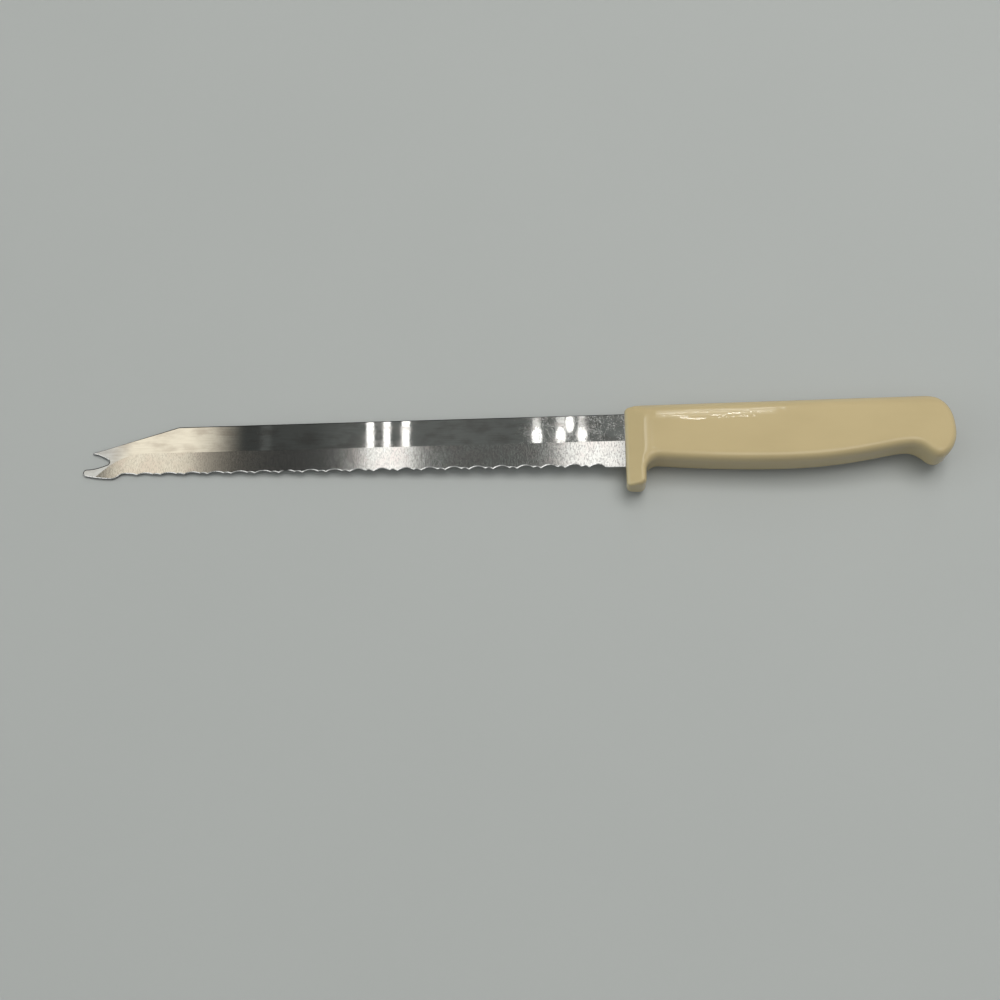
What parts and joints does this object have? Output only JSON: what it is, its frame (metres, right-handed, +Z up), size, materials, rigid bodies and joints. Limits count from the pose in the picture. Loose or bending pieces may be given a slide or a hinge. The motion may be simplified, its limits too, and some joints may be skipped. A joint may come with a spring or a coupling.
{
  "type": "serrated knife",
  "caption": "Serrated kitchen knife with a forked tip: a scalloped stainless blade whose tang is locked in a solid moulded plastic handle with a finger guard and hooked butt.",
  "frame": {"origin": "on the table under the middle of the knife's box, with the knife lying on the flat side of its handle", "axes": "+X from the tip to the butt, +Y from the cutting edge to the spine, +Z up through the blade's thickness"},
  "size_m": [0.3232, 0.0324, 0.0155],
  "materials": {
    "steel": "mirror-polished flat above fine upright grinding lines, stamped edges",
    "cream_plastic": "glossy moulded cream plastic, faintly mottled, soft edges"
  },
  "bodies": {
    "root": {"blade": "steel", "handle": "cream_plastic"}
  },
  "joints": []
}
